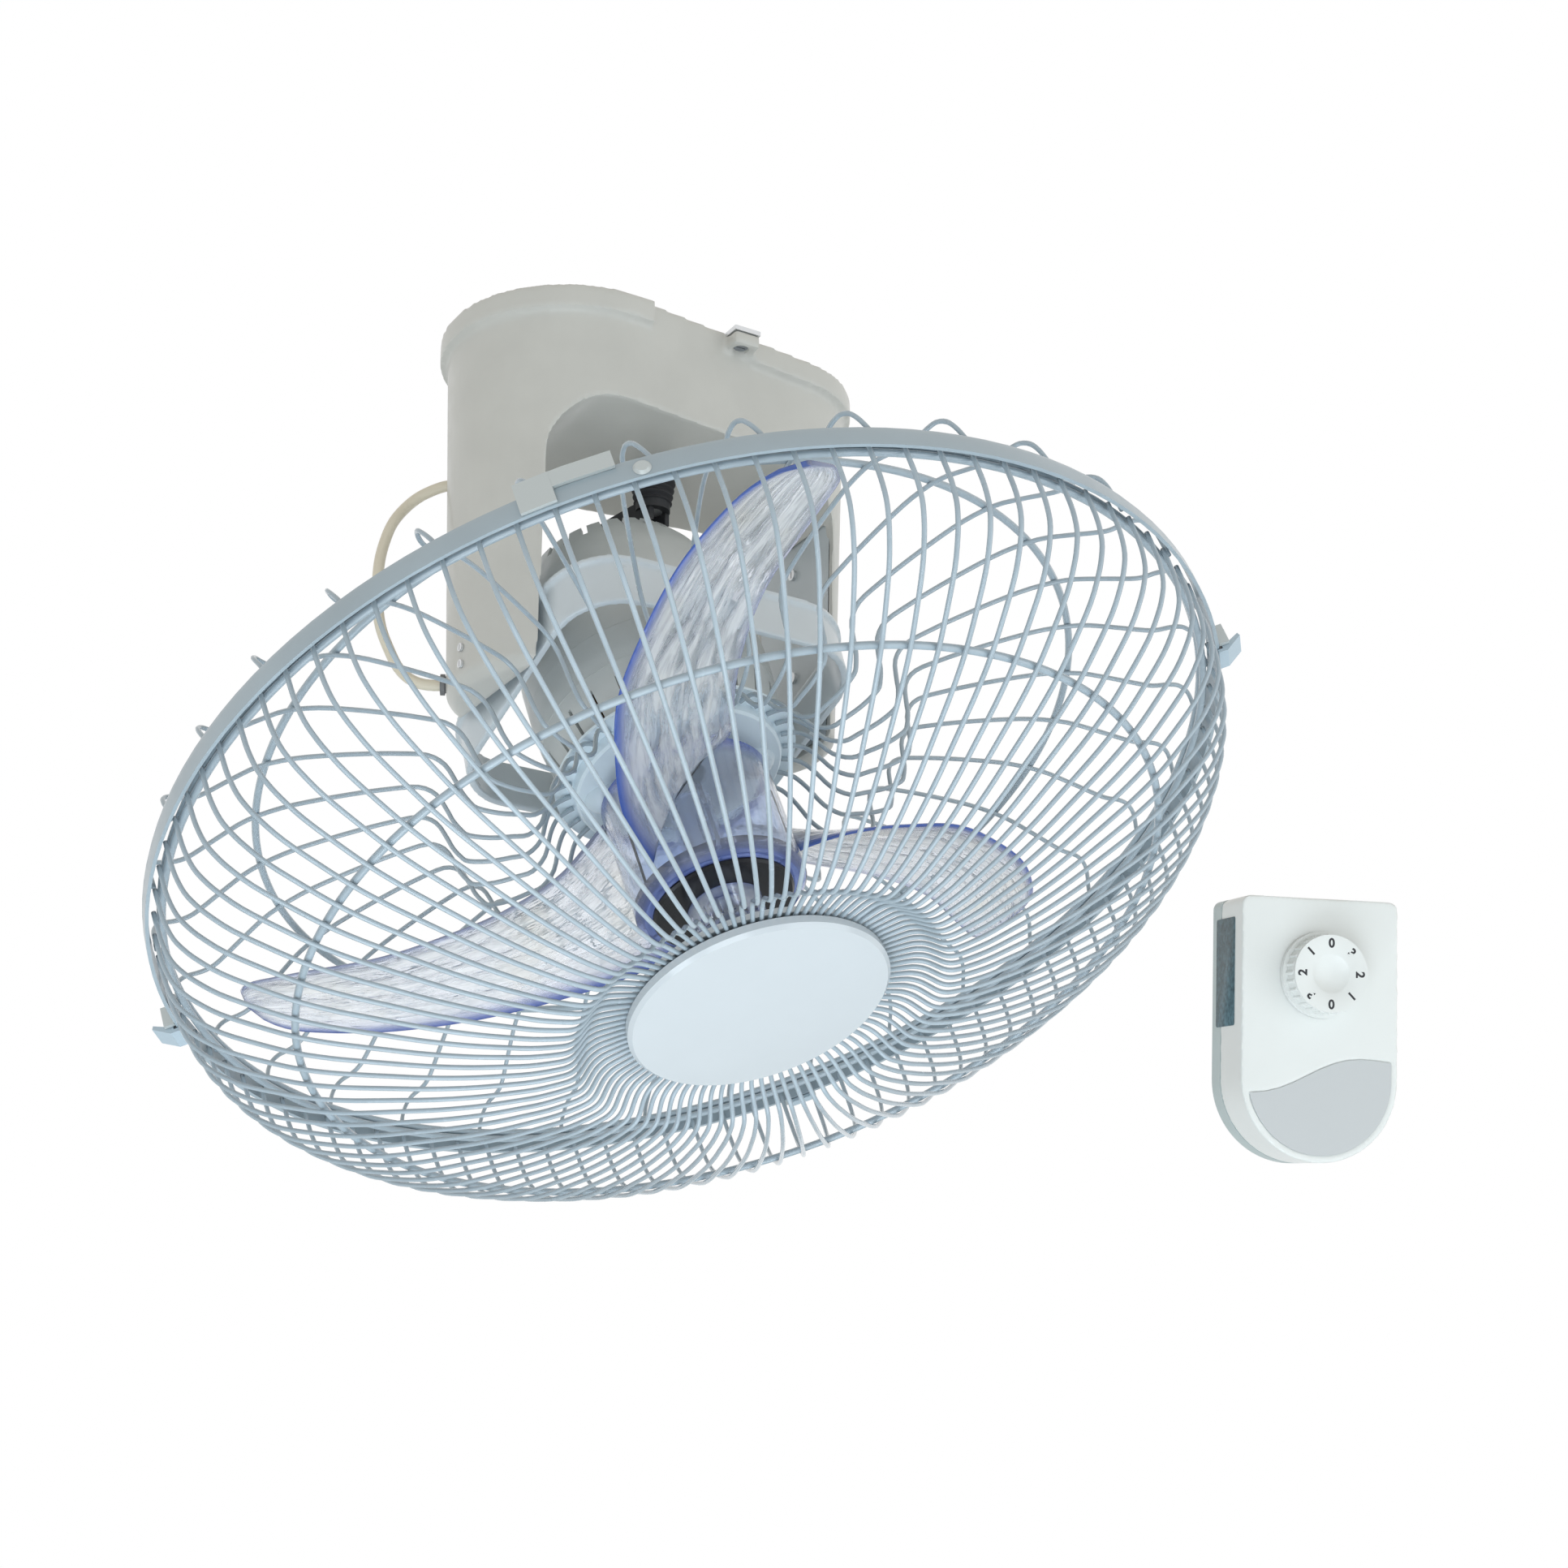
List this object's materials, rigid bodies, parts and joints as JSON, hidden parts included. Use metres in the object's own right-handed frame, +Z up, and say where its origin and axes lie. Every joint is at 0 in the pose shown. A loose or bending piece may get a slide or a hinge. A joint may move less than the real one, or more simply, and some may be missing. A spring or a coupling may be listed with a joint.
{
  "type": "ceiling orbit fan",
  "caption": "Ceiling orbit fan: housing with legs, swinging frame, caged motor with clear blades and badge, crank drive, and a dial regulator for the wall.",
  "frame": {"origin": "centre of the ceiling face, on the axis that the motor head circles round", "axes": "+Z up, into the ceiling; +X from the leg that takes the supply cable to the other leg; +Y away from the viewer"},
  "size_m": [0.5738, 0.4085, 0.3362],
  "materials": {
    "housing_white": "satin",
    "inner_white": "satin",
    "zinc_steel": "satin",
    "bronze": "satin",
    "black_plastic": "satin",
    "boot_rubber": "matte",
    "cord_beige": "satin",
    "nylon": "satin",
    "motor_white": "satin",
    "frame_white": "gloss",
    "lamination": "matte",
    "copper": "satin",
    "cage_grey": "satin",
    "clip_grey": "satin",
    "lever_blue": "satin",
    "collar_blue": "satin",
    "badge_white": "gloss",
    "blade_blue": "clear",
    "disc_black": "gloss",
    "reg_white": "satin",
    "reg_grey": "satin",
    "panel_grey": "satin",
    "choke_brown": "matte"
  },
  "bodies": {
    "mount_unit": {"housing": "housing_white", "ceiling_plate": "zinc_steel", "ear_screws": "zinc_steel", "leg_plate_left": "inner_white", "leg_plate_right": "inner_white", "leg_plate_screws": "zinc_steel", "leg_bushes": "bronze", "terminal_block": "nylon", "capacitor": "black_plastic", "gearbox_plate": "zinc_steel", "gearbox_screws": "zinc_steel", "orbit_motor": "zinc_steel", "crank_bush": "bronze", "crank_boot": "boot_rubber", "supply_cable": "cord_beige", "cable_grommet": "black_plastic", "cord_clamp": "zinc_steel", "reg_back": "reg_grey", "reg_cover": "reg_white", "reg_panel": "panel_grey", "reg_switch": "nylon", "reg_choke": "choke_brown", "reg_screws": "zinc_steel"},
    "drive_pinion": {"pinion": "nylon"},
    "crank": {"crank_gear": "nylon", "crank_shaft": "zinc_steel", "crank_fork": "black_plastic"},
    "gimbal": {"frame": "frame_white", "leg_pins": "zinc_steel"},
    "head": {"motor_pins": "zinc_steel", "pin_washers": "nylon", "motor_rear_cover": "motor_white", "motor_front_cover": "motor_white", "stator_core": "lamination", "stator_windings": "copper", "rear_bearing": "bronze", "front_bearing": "bronze", "tail_stud": "zinc_steel", "guard_collar": "collar_blue", "collar_knobs": "collar_blue", "rear_guard_wires": "cage_grey", "rear_guard_rings": "cage_grey", "rim_band": "cage_grey", "rim_hinge_plate": "clip_grey", "latch_bases": "clip_grey", "front_guard_wires": "cage_grey", "front_guard_rings": "cage_grey", "badge": "badge_white", "badge_retainer": "badge_white", "badge_screws": "zinc_steel"},
    "rotor": {"rotor_core": "lamination", "motor_shaft": "zinc_steel", "blade_hub": "blade_blue", "blades": "blade_blue", "spinner_disc": "disc_black", "spinner_nut": "blade_blue"},
    "latch_lever_left": {"latch_left": "lever_blue"},
    "latch_lever_right": {"latch_right": "lever_blue"},
    "latch_lever_back": {"latch_back": "lever_blue"},
    "regulator_dial": {"reg_dial": "reg_white"}
  },
  "joints": [
    {"name": "frame_swing", "type": "hinge", "parent": "mount_unit", "child": "gimbal", "pos_m": [0, 0, -0.1476], "axis": [1, 0, 0], "range_deg": [-0.9, 44.3]},
    {"name": "motor_swing", "type": "hinge", "parent": "gimbal", "child": "head", "pos_m": [0, 0, -0.1476], "axis": [0, 0.9291, -0.3697], "range_deg": [-16.15, 29.05]},
    {"name": "blade_spin", "type": "hinge", "parent": "head", "child": "rotor", "pos_m": [0, 0, -0.1476], "axis": [-0.1123, 0.3674, 0.9233], "continuous": true},
    {"name": "crank_turn", "type": "hinge", "parent": "mount_unit", "child": "crank", "pos_m": [0, 0, -0.06], "axis": [0, 0, 1], "continuous": true},
    {"name": "pinion_turn", "type": "hinge", "parent": "mount_unit", "child": "drive_pinion", "pos_m": [0.02725, 0, -0.032], "axis": [0, 0, 1], "continuous": true},
    {"name": "latch_left_open", "type": "hinge", "parent": "head", "child": "latch_lever_left", "pos_m": [-0.15597, 0.10176, -0.28387], "axis": [0.6558, 0.7254, -0.2089], "range_deg": [0, 100]},
    {"name": "latch_right_open", "type": "hinge", "parent": "head", "child": "latch_lever_right", "pos_m": [0.1719, -0.15386, -0.14225], "axis": [-0.6558, -0.7254, 0.2089], "range_deg": [0, 100]},
    {"name": "latch_back_open", "type": "hinge", "parent": "head", "child": "latch_lever_back", "pos_m": [0.15198, 0.13326, -0.25893], "axis": [0.7465, -0.582, 0.3224], "range_deg": [0, 100]},
    {"name": "dial_turn", "type": "hinge", "parent": "mount_unit", "child": "regulator_dial", "pos_m": [0.31609, -0.04077, -0.22693], "axis": [-0.3136, -0.9197, -0.2362], "continuous": true}
  ],
  "couplings": [
    {"joint": "pinion_turn", "follows": "crank_turn", "ratio": -2}
  ]
}
